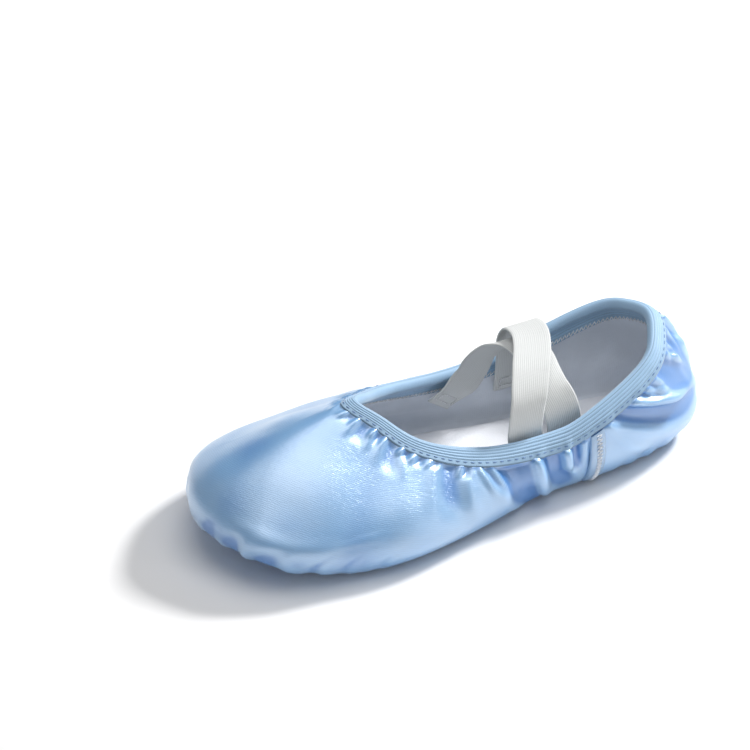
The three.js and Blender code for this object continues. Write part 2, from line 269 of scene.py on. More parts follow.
def lengths(s):
    """Length down the wall at each of STEPS, for each column."""
    points = wall(np.asarray(s, float)[:, None], STEPS[None, :])
    hops = np.linalg.norm(np.diff(points, axis=1), axis=-1)
    return np.concatenate([np.zeros((len(s), 1)), np.cumsum(hops, 1)], 1)


def for_each(s, values):
    """The same values for every column, unless each column has its own already."""
    values = np.asarray(values, float)
    return np.broadcast_to(values, (len(s), values.shape[-1]))


def reach(s, far):
    """v at lengths down the wall."""
    return np.stack([np.interp(x, row, STEPS) for x, row in zip(for_each(s, far), lengths(s))])


def length_at(s, v):
    """Length down the wall at v."""
    return np.stack([np.interp(x, STEPS, row) for x, row in zip(for_each(s, v), lengths(s))])


def off_wall(s, v, lift):
    """Points that stand off the smooth upper, outwards by a lift or inwards when it is negative."""
    return wall(s[:, None], v) + outward(s[:, None], v) * np.asarray(lift)[..., None]


def columns_between(low, high):
    return np.linspace(low, high, int((high - low) * CLOTH_COLUMNS) + 1)


def down_and_under(down, v):
    """Length down the cloth, carried on under the foot."""
    return down + np.maximum(v - 1, 0) * UNDERSIDE


RING = np.linspace(-HALF, HALF, 721)


def length_along(path):
    """How far along a path each of its points is."""
    return np.concatenate([[0], np.cumsum(np.linalg.norm(np.diff(path, axis=0), axis=1))])


def along_table(curve):
    """Length along a curve from the middle of the throat or toe, at each place of RING."""
    total = length_along(curve(RING))
    return total - np.interp(0, RING, total)


ALONG_CREST = along_table(CREST)
ALONG_EDGE = along_table(FOOT_EDGE)


def fold_back(s):
    """Sections as a number from minus half to plus half of the ring."""
    return (np.asarray(s, float) + HALF) % ROUND - HALF


def along_binding(s):
    return np.interp(fold_back(s), RING, ALONG_CREST)


def along_edge(s):
    return np.interp(fold_back(s), RING, ALONG_EDGE)


def ramp(x, low, high):
    t = np.clip((x - low) / (high - low), 0, 1)
    return t * t * (3 - 2 * t)


def swell(points, seed, size, waves=12):
    """Soft irregular waves through space, from about -1 to 1, of a given size in millimetres."""
    dice = np.random.default_rng(seed)
    x, y, z = points[..., 0], points[..., 1], points[..., 2]
    total = np.zeros_like(x)
    for _ in range(waves):
        d = dice.normal(size=3)
        d /= np.linalg.norm(d)
        k = 2 * math.pi / (size * dice.uniform(0.7, 1.5))
        total += np.sin(k * (d[0] * x + d[1] * y + d[2] * z) + dice.uniform(0, 2 * math.pi))
    return total / math.sqrt(waves)


def tape_share(s):
    """The stretched binding is narrower round the throat and a little narrower round the heel."""
    at = np.abs(along_binding(s))
    half = float(ALONG_CREST[-1])
    return 1 - 0.26 * (1 - ramp(at, 12, 62)) - 0.12 * ramp(at, half - 50, half - 10)


def tape_edge(s):
    """How far down the wall the binding reaches, for each column."""
    return (TAPE_DEPTH * tape_share(s))[:, None]


def fold_list():
    """The folds of both sides; the right side's are shifted and resized a little."""
    dice = np.random.default_rng(11)
    right = [
        (-(at + dice.uniform(-1.5, 1.5)), width * dice.uniform(0.85, 1.2), far * dice.uniform(0.8, 1.15),
         depth * dice.uniform(0.8, 1.15), -(lean + dice.uniform(-0.1, 0.1)), spread)
        for at, width, far, depth, lean, spread in FOLDS
    ]
    return list(FOLDS) + right


def gathers(s, down):
    """How far the gathered satin stands out or falls in, in millimetres: a hollow with a full lip on each side,
    the forward one higher and sharper."""
    at = along_binding(s)[:, None]
    half = float(ALONG_CREST[-1])
    below = down - tape_edge(s)
    leaning = np.where(below > 0, 1, 0.2)
    total = np.zeros_like(down)
    start = ramp(below, -1.5, 1.8)
    for place, width, far, depth, lean, spread in fold_list():
        offset = at - place - lean * below * leaning
        offset = (offset + half) % (2 * half) - half
        x = offset / (width * (1 + (spread - 1) * np.clip(below / far, 0, 1)))
        fade = (1 - ramp(below, far * 0.45, far)) ** 0.8
        hollow = -1.15 / (1 + np.abs(x) ** 3)
        lips = 0.75 * np.exp(-((x - 1.75) ** 2) / 0.3) + 0.9 * np.exp(-((x + 1.75) ** 2) / 0.42)
        lips *= min(1.0, 1.5 / width)
        total += depth * start * fade * (hollow + lips)
    for place, width, far, height, lean in RIDGES:
        for side in (1, -1):
            offset = side * at - place - lean * below * leaning
            fade = (1 - ramp(below, far * 0.5, far)) ** 0.8
            total += height * start * fade * np.exp(-np.abs(offset / width) ** 1.6)
    return total


def pleats(s, v):
    """The pleats drawn in under the toe, below a soft roll, and the shallower ones round the heel."""
    at = along_edge(s)[:, None]
    toe = 1 - ramp(np.abs(at), 34, 52)
    roll = toe * (0.7 * np.exp(-(((v - 0.665) / 0.06) ** 2)) - 0.9 * np.exp(-(((v - 0.80) / 0.075) ** 2)))
    total = roll * np.ones_like(at)
    under = 1 - ramp(v, 1.12, 1.5)
    for side, shift in ((1, 0.0), (-1, 2.7)):
        for place, width, depth in PLEATS:
            x = (side * at - place - shift - 16 * (0.92 - v)) / (width * (0.7 + 0.6 * ramp(v, 0.7, 1.0)))
            fold = -1.1 / (1 + np.abs(x) ** 3) + 0.5 * np.exp(-((x - 1.9) ** 2) / 0.5)
            fold += 0.35 * np.exp(-((x + 1.9) ** 2) / 0.8)
            total += depth * ramp(v, 0.66, 0.84) * under * fold * 0.75
    half = float(ALONG_EDGE[-1])
    for k in range(-5, 6):
        x = ((np.abs(at) - half) * np.sign(at) - k * 9.0) / 2.2
        fold = -np.exp(-np.abs(x) * 1.4) + 0.5 * np.exp(-((np.abs(x) - 1.8) ** 2) / 0.8)
        total += 0.6 * ramp(v, 0.74, 0.97) * under * fold
    return total


def lining_depth(s, v):
    """How far inside the smooth upper the lining lies."""
    near = reach(s, [EDGE, 11.0])
    rise = ramp(v, near[:, :1], near[:, 1:])
    return SATIN + GAP + EASE(s)[:, None] * rise * (1 - ramp(v, 0.7, 1.0))


# ---- Meshes


def make_mesh(name, points, faces, uv=None):
    """A mesh object from points in millimetres and faces, with a UV of millimetres for each face corner."""
    mesh = bpy.data.meshes.new(name)
    mesh.from_pydata([tuple(p) for p in np.asarray(points) * MM], [], [tuple(f) for f in faces])
    if uv is not None:
        layer = mesh.uv_layers.new(name="cloth")
        layer.data.foreach_set("uv", np.asarray(uv, np.float32).ravel())
    mesh.polygons.foreach_set("use_smooth", [True] * len(mesh.polygons))
    obj = bpy.data.objects.new(name, mesh)
    bpy.context.scene.collection.objects.link(obj)
    return obj


def mark(obj, name, values):
    """Gives each point of a mesh a number that its material reads."""
    layer = obj.data.attributes.new(name, "FLOAT", "POINT")
    layer.data.foreach_set("value", np.asarray(values, np.float32).ravel())


def grid(points, us, vs, close_columns=False, flip=False):
    """Points, faces and corner UVs of a grid of shape (columns, rows)."""
    columns, rows = points.shape[:2]
    faces, uv = [], []
    last = columns if close_columns else columns - 1
    for i in range(last):
        j = (i + 1) % columns
        u0, u1 = us[i], us[i + 1] if i + 1 < len(us) else us[i] + (us[1] - us[0])
        for k in range(rows - 1):
            face = [i * rows + k, i * rows + k + 1, j * rows + k + 1, j * rows + k]
            corner = [(u0, vs[i][k]), (u0, vs[i][k + 1]), (u1, vs[j][k + 1]), (u1, vs[j][k])]
            if flip:
                face, corner = face[::-1], corner[::-1]
            faces.append(face)
            uv.extend(corner)
    return points.reshape(-1, 3), faces, uv


def tidy_mesh(obj, merge=0.00002, face_outwards=False):
    """Joins points that lie on each other and, for a closed piece, turns its faces outwards."""
    b = bmesh.new()
    b.from_mesh(obj.data)
    bmesh.ops.remove_doubles(b, verts=b.verts, dist=merge)
    bmesh.ops.dissolve_degenerate(b, edges=b.edges, dist=merge / 4)
    if face_outwards:
        bmesh.ops.recalc_face_normals(b, faces=b.faces)
    b.to_mesh(obj.data)
    b.free()
    obj.data.polygons.foreach_set("use_smooth", [True] * len(obj.data.polygons))


def add_modifier(obj, kind, **settings):
    modifier = obj.modifiers.new(kind.title(), kind)
    for key, value in settings.items():
        setattr(modifier, key, value)
    return modifier


def apply_all(obj):
    """Turns the object's modifiers into plain mesh."""
    view = bpy.context.evaluated_depsgraph_get()
    seen = obj.evaluated_get(view)
    mesh = bpy.data.meshes.new_from_object(seen, preserve_all_data_layers=True, depsgraph=view)
    old = obj.data
    obj.modifiers.clear()
    obj.data = mesh
    mesh.name = obj.name
    bpy.data.meshes.remove(old)


def thicken(obj, thickness, offset=-1.0):
    """Gives a sheet its thickness, on the side away from its faces when offset is -1."""
    add_modifier(obj, "SOLIDIFY", thickness=thickness, offset=offset, use_even_offset=False)
    apply_all(obj)


def finish_piece(obj, look, nodes=(), body=None):
    """Gives a piece its material and ties it to one CAD body, or else bakes its place into its mesh."""
    obj.data.materials.clear()
    obj.data.materials.append(finish_named(look))
    if nodes:
        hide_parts(*nodes)
    if body:
        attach(obj, body)
    else:
        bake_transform(obj)


# ---- Materials


class Value:
    """A number in a shader. Sums and products of Values add Math nodes."""

    def __init__(self, tree, socket):
        self.tree = tree
        self.socket = socket

    def math(self, operation, *others):
        node = self.tree.nodes.new("ShaderNodeMath")
        node.operation = operation
        for place, value in zip(node.inputs, (self, *others)):
            if isinstance(value, Value):
                self.tree.links.new(value.socket, place)
            else:
                place.default_value = value
        return Value(self.tree, node.outputs[0])

    def __add__(self, other):
        return self.math("ADD", other)

    __radd__ = __add__

    def __mul__(self, other):
        return self.math("MULTIPLY", other)

    __rmul__ = __mul__

    def __rsub__(self, other):
        return self * -1.0 + other

    def wave(self):
        """Sine of the value, from 0 to 1."""
        return self.math("SINE") * 0.5 + 0.5

    def between(self, low, high):
        """0 below low, 1 above high and smooth between them."""
        node = self.tree.nodes.new("ShaderNodeMapRange")
        node.interpolation_type = "SMOOTHSTEP"
        self.tree.links.new(self.socket, node.inputs["Value"])
        node.inputs["From Min"].default_value = low
        node.inputs["From Max"].default_value = high
        return Value(self.tree, node.outputs["Result"])


class Finish:
    """One material and its nodes."""

    def __init__(self, name):
        self.material = bpy.data.materials.new(f"{name}_finish")
        self.material.use_nodes = True
        self.tree = self.material.node_tree
        self.shader = self.tree.nodes["Principled BSDF"]

    def node(self, kind, settings=(), **inputs):
        """Adds a node: its settings first, then its sockets. A socket's name has _ for each space."""
        node = self.tree.nodes.new(kind)
        for key, value in dict(settings).items():
            setattr(node, key, value)
        for key, value in inputs.items():
            self.feed(node.inputs[key.replace("_", " ")], value)
        return node

    def feed(self, socket, value):
        if isinstance(value, Value):
            self.tree.links.new(value.socket, socket)
        elif isinstance(value, bpy.types.NodeSocket):
            self.tree.links.new(value, socket)
        else:
            socket.default_value = value

    def value(self, node, output):
        return Value(self.tree, node.outputs[output])

    def cloth_axes(self):
        """The two directions of the cloth, in millimetres."""
        uv = self.node("ShaderNodeUVMap", {"uv_map": "cloth"})
        parts = self.node("ShaderNodeSeparateXYZ", Vector=uv.outputs["UV"])
        return uv.outputs["UV"], self.value(parts, "X"), self.value(parts, "Y")

    def place(self):
        return self.node("ShaderNodeTexCoord").outputs["Object"]

    def marked(self, name):
        """The number that the mesh carries under a name, or 0 where it has none."""
        return self.value(self.node("ShaderNodeAttribute", {"attribute_name": name}), "Fac")

    def noise(self, vector, scale, detail=3.0, roughness=0.55, stretch=None):
        if stretch:
            vector = self.node("ShaderNodeMapping", Vector=vector, Scale=stretch).outputs["Vector"]
        inputs = {"Scale": scale, "Detail": detail, "Roughness": roughness}
        return self.value(self.node("ShaderNodeTexNoise", Vector=vector, **inputs), "Fac")

    def mix(self, amount, first, second):
        """A colour between two colours."""
        node = self.tree.nodes.new("ShaderNodeMix")
        node.data_type = "RGBA"
        self.feed(node.inputs[0], amount)
        for socket, value in ((node.inputs[6], first), (node.inputs[7], second)):
            self.feed(socket, (*value, 1) if isinstance(value, tuple) else value)
        return node.outputs[2]

    def bump(self, height, distance, strength=1.0, after=None):
        inputs = {"Height": height, "Distance": distance, "Strength": strength}
        if after is not None:
            inputs["Normal"] = after
        return self.node("ShaderNodeBump", **inputs).outputs["Normal"]

    def set(self, **values):
        for key, value in values.items():
            self.feed(self.shader.inputs[key.replace("_", " ")], value)
        return self.material


def satin_finish(name, tone=1.0):
    """Satin: a tight glossy weave with long floats, a little paler in random patches. Its hollows get painted
    shade in deep blue, with less coat, and its ridges a paler painted highlight, both from the fold number on
    the mesh.
    """
    f = Finish(name)
    uv, across, down = f.cloth_axes()
    place = f.place()
    cloud = f.noise(place, 28.0, 3.0)
    rub = f.noise(place, 9.0, 2.0)
    float_lines = f.noise(uv, 1.0, 2.0, 0.6, stretch=(0.35, 3.2, 1.0))
    grain = f.noise(uv, 1.0, 1.0, 0.5, stretch=(5.5, 5.5, 1.0))
    drift = f.noise(uv, 1.0, 2.0, 0.5, stretch=(0.5, 0.5, 1.0))
    twill = ((across + down * 1.7) * 4.1 + drift * 9.0).wave()
    rib = (down * (2 * math.pi / 0.34)).wave()
    base = f.mix(cloud.between(0.35, 0.7), dye("satin", tone), dye("satin_pale_and_highlight", tone))
    base = f.mix(grain.between(0.42, 0.75) * 0.22, base, dye("satin_pale_and_highlight", 1.12 * tone))
    base = f.mix(float_lines.between(0.5, 0.8) * 0.2, base, dye("satin", 0.72 * tone))
    base = f.mix(twill * 0.22, base, dye("satin", 0.7 * tone))
    # Painted shade and highlight: deep blue with less coat where the fold number is low, in the hollows, and
    # paler where it is high, on the ridges.
    fold = f.marked("fold")
    hollow = (fold * -1.0).between(0.10, 0.85)
    base = f.mix(hollow * 0.9, base, dye("satin_painted_shade", tone))
    # Painted highlight: paler satin on the ridges of the folds.
    base = f.mix(fold.between(0.25, 1.0) * 0.35, base, dye("satin_pale_and_highlight", 1.2 * tone))
    slub = f.bump(float_lines, 0.00012, 0.5)
    weave = f.bump(rib * 0.6 + grain * 0.8 + twill * 0.9, 0.00005, 0.5, after=slub)
    rough = rub * 0.10 + grain * 0.08 + 0.25
    return f.set(
        Base_Color=base,
        Roughness=rough,
        Metallic=0.1,
        Normal=weave,
        Sheen_Weight=0.22,
        Sheen_Roughness=0.3,
        Sheen_Tint=(0.85, 0.93, 1.0, 1.0),
        IOR=1.9,
        Specular_IOR_Level=1.0,
        Coat_Weight=0.95 - hollow * 0.85,
        Coat_Roughness=0.4,
        Coat_IOR=1.85,
    )


def tape_finish():
    """Ribbed elastic: crossing threads between the ribs, with painted shade in the grooves between the ribs and
    over the hidden rows inside, so it is paler along their tops.
    """
    f = Finish("ribbed_elastic_blue")
    uv, across, _ = f.cloth_axes()
    cross = (across * (2 * math.pi / 0.75)).wave()
    fine = f.noise(uv, 1.0, 2.0, 0.6, stretch=(2.6, 2.6, 1.0))
    worn = f.noise(f.place(), 30.0, 3.0)
    base = f.mix(worn.between(0.35, 0.7) * 0.6, dye("tape"), dye("tape", 1.16))
    base = f.mix(fine.between(0.45, 0.7) * 0.25, base, dye("tape", 0.72))
    # Painted shade: darker in the grooves between the ribs and on the rows hidden inside the fold.
    base = f.mix(f.marked("groove").between(0.35, 1.0) * 0.75, base, dye("tape", 0.42))
    normal = f.bump(cross * 0.5 + fine, 0.00010, 0.5)
    return f.set(
        Base_Color=base,
        Roughness=fine * 0.15 + 0.5,
        Normal=normal,
        Sheen_Weight=0.4,
        Sheen_Roughness=0.4,
        Specular_IOR_Level=0.45,
    )


def strap_finish():
    """White elastic: fine ribs along the strap and tiny cross threads between them."""
    f = Finish("white_elastic")
    uv, across, down = f.cloth_axes()
    ribs = (down * (2 * math.pi / STRAP_RIBS)).wave()
    cross = (across * (2 * math.pi / 0.6)).wave()
    fuzz = f.noise(uv, 1.0, 2.0, 0.6, stretch=(2.2, 2.2, 1.0))
    shade = ribs.between(0.0, 0.55)
    base = f.mix(shade, dye("strap", 0.9), dye("strap"))
    base = f.mix(fuzz.between(0.5, 0.8) * 0.2, base, dye("strap", 0.8))
    normal = f.bump(ribs * 1.0 + cross * 0.3 + fuzz * 0.4, 0.00012, 0.5)
    return f.set(
        Base_Color=base, Roughness=fuzz * 0.1 + 0.62, Normal=normal, Sheen_Weight=0.25, Specular_IOR_Level=0.35
    )


def cotton_finish(name, shade):
    """Plain cotton: an over and under weave, and soft creases, a little darker in their hollows as painted
    shade.
    """
    f = Finish(name)
    uv, across, down = f.cloth_axes()
    warp = (across * (2 * math.pi / 0.8)).wave()
    weft = (down * (2 * math.pi / 0.8)).wave()
    fuzz = f.noise(uv, 1.0, 3.0, 0.6, stretch=(1.6, 1.6, 1.0))
    crease = f.noise(f.place(), 45.0, 3.0)
    # Painted shade: a little darker in the hollows of the soft creases.
    base = f.mix(crease.between(0.35, 0.7), dye(shade, 0.9), dye(shade))
    base = f.mix(fuzz.between(0.5, 0.8) * 0.25, base, dye(shade, 0.8))
    soft = f.bump(crease, 0.0012, 0.35)
    normal = f.bump(warp * weft + fuzz, 0.00012, 0.5, after=soft)
    return f.set(
        Base_Color=base, Roughness=fuzz * 0.1 + 0.82, Normal=normal, Sheen_Weight=0.15, Specular_IOR_Level=0.3
    )


def suede_finish():
    """Split suede: a brushed nap, scuffed darker in the middle where it meets the floor."""
    f = Finish("suede")
    place = f.place()
    nap = f.noise(place, 900.0, 4.0, 0.7)
    brushed = f.noise(place, 60.0, 4.0, 0.6, stretch=(1.0, 2.2, 1.0))
    scuff = f.noise(place, 22.0, 3.0)
    base = f.mix(brushed.between(0.3, 0.75), dye("suede", 0.8), dye("suede", 1.15))
    base = f.mix(scuff.between(0.52, 0.75) * 0.5, base, dye("suede", 0.55))
    normal = f.bump(nap + brushed * 0.6, 0.0003, 0.7)
    return f.set(
        Base_Color=base, Roughness=nap * 0.1 + 0.86, Normal=normal, Sheen_Weight=0.5, Specular_IOR_Level=0.2
    )


def thread_finish(name):
    """Twisted sewing thread with a slight gloss."""
    f = Finish(name)
    twist = f.noise(f.place(), 1500.0, 2.0)
    base = f.mix(twist.between(0.35, 0.7), dye(name, 0.75), dye(name, 1.15))
    return f.set(
        Base_Color=base, Roughness=twist * 0.15 + 0.42, Normal=f.bump(twist, 0.0001, 0.5), Sheen_Weight=0.2
    )


def finish_named(name):
    """Each material is made once, when a piece first asks for it."""
    found = bpy.data.materials.get(f"{name}_finish")
    if found:
        return found
    makers = {
        "satin": lambda: satin_finish("satin"),
        "satin_band": lambda: satin_finish("satin_band", 0.78),
        "ribbed_elastic_blue": tape_finish,
        "white_elastic": strap_finish,
        "cotton_lining": lambda: cotton_finish("cotton_lining", "cotton"),
        "insole_cotton": lambda: cotton_finish("insole_cotton", "insole"),
        "suede": suede_finish,
    }
    return makers[name]() if name in makers else thread_finish(name)


# ---- Stitches


def stitch_tree():
    """Geometry nodes that lay one stitch on each point, along the point's own direction."""
    found = bpy.data.node_groups.get("stitches")
    if found:
        return found
    tree = bpy.data.node_groups.new("stitches", "GeometryNodeTree")
    face = tree.interface
    face.new_socket("Geometry", in_out="INPUT", socket_type="NodeSocketGeometry")
    for name in ("Length", "Thickness"):
        socket = face.new_socket(name, in_out="INPUT", socket_type="NodeSocketFloat")
        socket.subtype = "DISTANCE"
        socket.default_value = 0.001
    face.new_socket("Material", in_out="INPUT", socket_type="NodeSocketMaterial")
    face.new_socket("Geometry", in_out="OUTPUT", socket_type="NodeSocketGeometry")
    nodes, link = tree.nodes, tree.links.new
    given, out = nodes.new("NodeGroupInput"), nodes.new("NodeGroupOutput")

    def add(kind, settings=(), **inputs):
        node = nodes.new(kind)
        for key, value in dict(settings).items():
            setattr(node, key, value)
        for key, value in inputs.items():
            if isinstance(value, bpy.types.NodeSocket):
                link(value, node.inputs[key])
            else:
                node.inputs[key].default_value = value
        return node.outputs[0]

    bead = add("GeometryNodeMeshUVSphere", Segments=7, Rings=5, Radius=0.5)
    thick = given.outputs["Thickness"]
    size = add("ShaderNodeCombineXYZ", X=thick, Y=thick, Z=given.outputs["Length"])
    lie = add("GeometryNodeInputNamedAttribute", {"data_type": "FLOAT_VECTOR"}, Name="lie")
    turn = add("FunctionNodeAlignRotationToVector", {"axis": "Z"}, Vector=lie)
    points = given.outputs["Geometry"]
    put = add("GeometryNodeInstanceOnPoints", Points=points, Instance=bead, Rotation=turn, Scale=size)
    real = add("GeometryNodeRealizeInstances", Geometry=put)
    painted = add("GeometryNodeSetMaterial", Geometry=real, Material=given.outputs["Material"])
    link(add("GeometryNodeSetShadeSmooth", Geometry=painted), out.inputs["Geometry"])
    return tree


def sew(name, row, length, thickness, look, nodes=(), body=None):
    """A piece made of one stitch for each place in a row, in millimetres, lying along its direction."""
    places, directions = row
    mesh = bpy.data.meshes.new(name)
    mesh.from_pydata([tuple(p) for p in places * MM], [], [])
    lie = mesh.attributes.new("lie", "FLOAT_VECTOR", "POINT")
    lie.data.foreach_set("vector", np.asarray(directions, np.float32).ravel())
    obj = bpy.data.objects.new(name, mesh)
    bpy.context.scene.collection.objects.link(obj)
    modifier = obj.modifiers.new("Stitches", "NODES")
    modifier.node_group = stitch_tree()
    sockets = {s.name: s.identifier for s in stitch_tree().interface.items_tree if s.in_out == "INPUT"}
    modifier[sockets["Length"]] = length
    modifier[sockets["Thickness"]] = thickness
    modifier[sockets["Material"]] = finish_named(look)
    apply_all(obj)
    finish_piece(obj, look, nodes, body)


def unit(vectors):
    return vectors / (np.linalg.norm(vectors, axis=1, keepdims=True) + 1e-9)


def points_along(path, at):
    """Points at lengths along a path."""
    gone = length_along(path)
    return np.stack([np.interp(at, gone, path[:, k]) for k in range(3)], 1)


def running(path, step):
    """Places and directions of stitches set a step apart along a path, in millimetres."""
    at = np.arange(step / 2, length_along(path)[-1], step)
    return points_along(path, at), unit(points_along(path, at + 0.2) - points_along(path, at - 0.2))


def zigzag(one_side, other_side, step):
    """Places and directions of stitches that go to and fro between two paths."""
    a, _ = running(one_side, step)
    end = length_along(other_side)[-1]
    b = points_along(other_side, np.linspace(step / 2, end - step / 2, len(a)))
    corners = np.stack([a, (b + np.roll(b, -1, 0)) / 2], 1)[:-1].reshape(-1, 3)
    return (corners[:-1] + corners[1:]) / 2, unit(np.diff(corners, axis=0))


# ---- Pieces


def satin_sheet():
    """The gathered upper before it is filled out. For each column its section, and for each point v, its length
    down the wall, its place, how firmly it is held and how far it is in a fold (-1) or on a ridge (1), which
    sets its painted shade and highlight; the same number carries a painted shadow under the binding and a dark
    line down each side seam."""
    per = sizes().satin_columns
    s = np.arange(-HALF * per, HALF * per) / per
    start = reach(s, [EDGE])[:, 0]
    share = np.linspace(0, 1, sizes().satin_rows) ** 0.92
    v = start[:, None] + (1 - start[:, None]) * share[None, :]
    v = np.concatenate([v, np.repeat([[1.1, 1.25, 1.45, 1.7, 2.0]], len(s), 0)], 1)
    down = length_at(s, np.minimum(v, 1))
    base = wall(s[:, None], v)
    calm = 1 - np.exp(-((np.abs(fold_back(s)) - SEAM - 0.09) / 0.17) ** 4)[:, None]
    out = gathers(s, down) * calm * (1 - ramp(v, 0.97, 1.2)) + pleats(s, v)
    tape = tape_edge(s)
    soft = ramp(down, tape, tape + 14) * (1 - ramp(v, 0.8, 1.0))
    out += 0.7 * soft * swell(base, 5, 34.0)
    side = np.abs(fold_back(s))[:, None]
    seam = np.exp(-(((side - SEAM) * 20) ** 2) / 0.9) * ramp(down, tape, tape + 3)
    out -= 0.9 * seam * (1 - ramp(v, 1.2, 1.9))
    room = lining_depth(s, v) - sizes().satin_thickness / MM - 0.35
    stand = 2.8 - 1.7 * ramp(v, 0.6, 0.85)
    # The fold number is painted light: it turns the satin deep blue in the hollows, as painted shade, and paler
    # on the ridges, as painted highlight. Under the binding it adds a thin painted shadow, and down each side
    # seam a dark line.
    fold = np.clip(out / FULL_SHADE, -1, 1)
    tape_shadow = np.exp(-(((down - tape - 0.4) / 0.8) ** 2)) * (1 - ramp(fold, 0.5, 1.0))
    shade = -np.maximum(seam, 0.75 * tape_shadow)
    fold = np.where(np.maximum(seam, tape_shadow) > 0.2, np.minimum(fold, shade), fold)
    out = np.where(out < 0, -room * (1 - np.exp(np.minimum(out, 0) / room)), stand * np.tanh(out / stand))
    held = np.maximum(1 - ramp(down, tape - 2, tape + 0.5), ramp(v, 0.9, 0.99))
    held = np.maximum(held, (1 - calm) * 0.97 * np.ones_like(v))
    points = base + outward(s[:, None], v) * out[..., None]
    return s, v, down, points, held, fold


def fill_out(obj, held, frames=16):
    """Fills the satin out with a little air, as cloth, with its edges held where they are sewn."""
    group = obj.vertex_groups.new(name="held")
    for i, weight in enumerate(held):
        group.add([i], float(weight), "REPLACE")
    cloth = add_modifier(obj, "CLOTH")
    c = cloth.settings
    c.quality = 6
    c.mass = 0.12
    c.tension_stiffness = 22
    c.compression_stiffness = 22
    c.shear_stiffness = 8
    c.bending_stiffness = 0.12
    c.air_damping = 2.0
    c.use_pressure = True
    c.uniform_pressure_force = sizes().air
    c.vertex_group_mass = "held"
    c.pin_stiffness = 1.2
    c.effector_weights.gravity = 0
    cloth.collision_settings.use_collision = False
    cloth.collision_settings.use_self_collision = False
    cloth.point_cache.frame_start = 1
    cloth.point_cache.frame_end = frames
    for at in range(1, frames + 1):
        bpy.context.scene.frame_set(at)
    apply_all(obj)
    bpy.context.scene.frame_set(1)


class SLIPPER_OT_upper(bpy.types.Operator):
    """Makes the satin vamp and heel, gathered under the binding and pleated under the toe"""

    bl_idname = "slipper.upper"
    bl_label = "Satin Upper"

    def execute(self, context):
        s, v, down, points, held, fold = satin_sheet()
        at = along_edge(s) * 0.5 + along_binding(s) * 0.5
        rows_down = down_and_under(down, v)
        flat, faces, uv = grid(points, at, rows_down, close_columns=True, flip=True)
        whole = make_mesh("satin_whole", flat, faces, uv)
        fill_out(whole, held.ravel())
        moved = np.array([tuple(p.co) for p in whole.data.vertices]) / MM - flat
        bpy.data.objects.remove(whole)
        # The filling only pushes the satin out, and never far: inwards it would go through the lining.
        face = outward(s[:, None], v).reshape(-1, 3)
        moved -= face * np.minimum((moved * face).sum(1), 0)[:, None]
        far = np.linalg.norm(moved, axis=1)
        limit = np.minimum(1, MOST_FILLING / np.maximum(far, 1e-6))[:, None]
        points = (flat + moved * limit).reshape(points.shape)
        columns = len(s)
        front = [i for i, place in enumerate(s) if abs(place) <= SEAM + 1e-6]
        rear_half = int((HALF - SEAM) * sizes().satin_columns)
        rear = [i % columns for i in range(columns - rear_half, columns + rear_half + 1)]
        for name, chosen in (("vamp_satin", front), ("heel_satin", rear)):
            us = [at[chosen[0]] + k * (at[1] - at[0]) for k in range(len(chosen))]
            piece = make_mesh(f"{name}_cloth", *grid(points[chosen], us, rows_down[chosen], flip=True))
            # The fold number sets the satin's painted shade in its hollows and painted highlight on its ridges.
            mark(piece, "fold", fold[chosen])
            tidy_mesh(piece)
            add_modifier(piece, "SUBSURF", levels=1, render_levels=1)
            apply_all(piece)
            thicken(piece, sizes().satin_thickness)
            finish_piece(piece, "satin", [name])
        return {"FINISHED"}


class SLIPPER_OT_lining(bpy.types.Operator):
    """Makes the cotton lining of the vamp and the heel"""

    bl_idname = "slipper.lining"
    bl_label = "Lining"

    def execute(self, context):
        for name, low, high in (("vamp_lining", -SEAM, SEAM), ("heel_lining", SEAM, ROUND - SEAM)):
            s = columns_between(low, high)
            start = reach(s, [EDGE])[:, 0]
            v = start[:, None] + (1 - start[:, None]) * np.linspace(0, 1, 34)[None, :]
            v = np.concatenate([v, np.repeat([[1.15, 1.4, 1.7, 2.0]], len(s), 0)], 1)
            down = length_at(s, np.minimum(v, 1))
            base = wall(s[:, None], v)
            crease = 0.5 * swell(base, 8, 22.0)
            crease *= ramp(down, 11, 18) * (1 - ramp(v, 0.7, 1.0))
            points = off_wall(s, v, -(lining_depth(s, v) + crease + 0.1))
            piece = make_mesh(f"{name}_cloth", *grid(points, along_edge(s), down_and_under(down, v)))
            tidy_mesh(piece)
            thicken(piece, sizes().cotton_thickness, offset=1.0)
            finish_piece(piece, "cotton_lining", [name])
        return {"FINISHED"}


def tape_profile():
    """One face of the folded binding in section: lengths down from the crest and, as shares of its thickness,
    how far it stands out. It has five ribs above the stitch line."""
    down = np.linspace(TAPE_DEPTH, 1.3, 40)
    rib = np.abs(np.sin(np.pi * (down - 1.3) / 1.32)) ** 0.7
    flat = ramp(down, 6.4, 7.2)
    lift = 0.62 + 0.38 * (rib * (1 - flat) + 0.45 * flat)
    return down, lift * (1 - 0.5 * ramp(down, TAPE_DEPTH - 0.7, TAPE_DEPTH))


ZIGZAG_STEP = 1.9
OVER_CREST = np.linspace(0, math.pi, 11)[1:-1]  # angles from the outer face round to the inner face
BACK_ROWS, UNDER_ROWS = 7, 8


